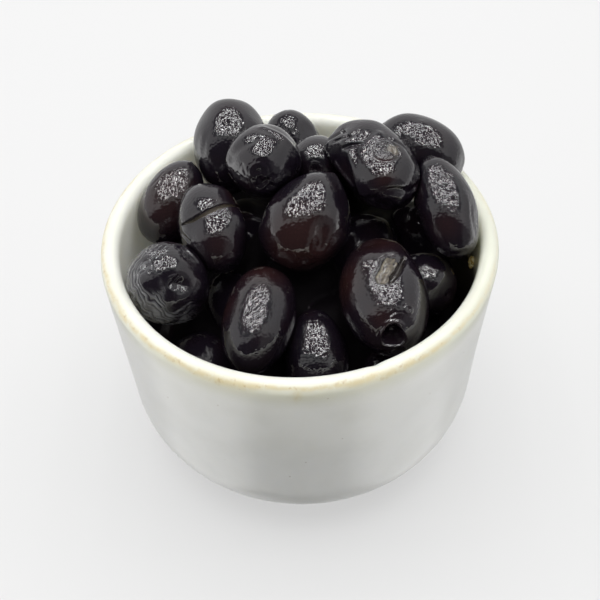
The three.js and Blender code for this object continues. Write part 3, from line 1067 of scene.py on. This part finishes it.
unit = ball(np.linspace(0, math.pi, CRUMB_ROWS + 2)[1:-1], CRUMB_AROUND)
lumpy = 1 + 0.24 * waves(unit, 1.5, 71) + 0.13 * waves(unit, 0.6, 72)
crumb_material = bpy.data.materials.new("crumb")
crumb_material.use_nodes = True
tree = crumb_material.node_tree
crumb_shader = tree.nodes["Principled BSDF"]
crumb_shader.inputs["Roughness"].default_value = 0.2
place = add(tree, "ShaderNodeTexCoord").outputs["Object"]
grainy = ramp(tree, noise(tree, place, 0.6, 3), 0.35, 0.65)
tree.links.new(blend(tree, grainy, CRUMB_BROWN, CRUMB_YELLOW), crumb_shader.inputs["Base Color"])
crumb_shell = {
    "points": CRUMB_AT + unit * CRUMB_SIZE * lumpy[:, None],
    "faces": closed_faces(CRUMB_ROWS, CRUMB_AROUND),
    "fields": {},
}
crumb = piece("crumb", [crumb_shell], crumb_material)
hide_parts("olives")


# ---- The olives out of sight -------------------------------------------------------------
# The many olives packed in the lower part of the dish, under all those that show. They are
# one dark body that fills the dish out to its wall, with a lumpy top.

CORE_TOP = 51.0
CORE_ROUND = 67.0
CORE_BACK = 8.0
CORE_EDGE = 38.5
CORE_LUMPS = 2.2
LUMP_PITCH = 17
CORE_GAP = 0.5
CORE_AROUND = 180
CORE_SIDE_ROWS = 30
CORE_TOP_ROWS = 50
CORE_BLACK = (0.004, 0.003, 0.004)

turn = np.linspace(0, 2 * math.pi, CORE_AROUND, endpoint=False)


def core_top(x, y):
    """Height of the lumpy top: a shallow dome that is highest towards the back."""
    spots = np.stack([x, y, np.zeros_like(x)], -1).reshape(-1, 3)
    dome = CORE_TOP - CORE_ROUND + np.sqrt(CORE_ROUND**2 - x**2 - (y - CORE_BACK) ** 2)
    return dome + CORE_LUMPS * np.abs(waves(spots, LUMP_PITCH, 61)).reshape(x.shape)


def filled_radius(height):
    """Inside radius of the dish at a height, down to its floor."""
    curve = inside_arc + np.sqrt(np.maximum(INSIDE_ROUND**2 - (inside_height - height) ** 2, 0))
    return np.where(height > inside_tangent, inside_radius(height), curve)


top_edge = core_top(CORE_EDGE * np.cos(turn), CORE_EDGE * np.sin(turn))
up = np.linspace(0, 1, CORE_SIDE_ROWS)[:, None]
side_height = FLOOR_HEIGHT + CORE_GAP + up**1.5 * (top_edge - FLOOR_HEIGHT - CORE_GAP)
side_radius = filled_radius(side_height) - CORE_GAP - up
sides = np.stack([side_radius * np.cos(turn), side_radius * np.sin(turn), side_height], -1)
inward = np.linspace(1, 0, CORE_TOP_ROWS + 2)[1:-1, None] * side_radius[-1]
top_x, top_y = inward * np.cos(turn), inward * np.sin(turn)
tops_of_core = np.stack([top_x, top_y, core_top(top_x, top_y)], -1)
core_points = np.vstack(
    [
        [0, 0, FLOOR_HEIGHT + CORE_GAP],
        sides.reshape(-1, 3),
        tops_of_core.reshape(-1, 3),
        [0, 0, core_top(np.zeros(1), np.zeros(1))[0]],
    ]
)
core_material = bpy.data.materials.new("olive_core")
core_material.use_nodes = True
core_shader = core_material.node_tree.nodes["Principled BSDF"]
# Near black and almost without gloss, so that the gaps between the olives read as deep shade: painted
# shade.
core_shader.inputs["Base Color"].default_value = (*CORE_BLACK, 1)
core_shader.inputs["Roughness"].default_value = 0.5
core_shader.inputs["Specular IOR Level"].default_value = 0.03
core_shell = {
    "points": core_points,
    "faces": closed_faces(CORE_SIDE_ROWS + CORE_TOP_ROWS, CORE_AROUND),
    "fields": {},
}
core = piece("olives_core", [core_shell], core_material)
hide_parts("olives")


# ---- The olives just below ---------------------------------------------------------------
# Four whole olives of the next layer, which show through the gaps between those on top. They
# are as wet and glossy as the ones above.

just_below = ("low_right", "low_front", "low_back_right", "low_front_right")
low_shells = [shell(olive(name, 72, 96, lumps=0.02)) for name in just_below]
olives_low = piece("olives_low", low_shells, olive_skin)
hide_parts("olives")


# ---- The olives in the depth of the dish -------------------------------------------------
# The last layers, which show only as dark shapes between the others. Their skin is given
# less gloss than that of the olives above, which stands in for the shade they lie in: painted shade.

DULL_GLOSS = 0.15

dull_skin = olive_skin.copy()
dull_skin.name = "olive_skin_dull"
dull_shader = dull_skin.node_tree.nodes["Principled BSDF"]
# Painted shade: the gloss is turned down so that these olives read as shaded.
dull_shader.inputs["Specular IOR Level"].default_value = DULL_GLOSS
on_top = {*plump, *creased, "peak_right", "wrinkled", "slit", "pitted"}
in_depth = [name for name in heap if name not in on_top and name not in just_below]
deep_shells = [shell(olive(name, 44, 60, lumps=0.02)) for name in in_depth]
olives_deep = piece("olives_deep", deep_shells, dull_skin)
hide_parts("olives")
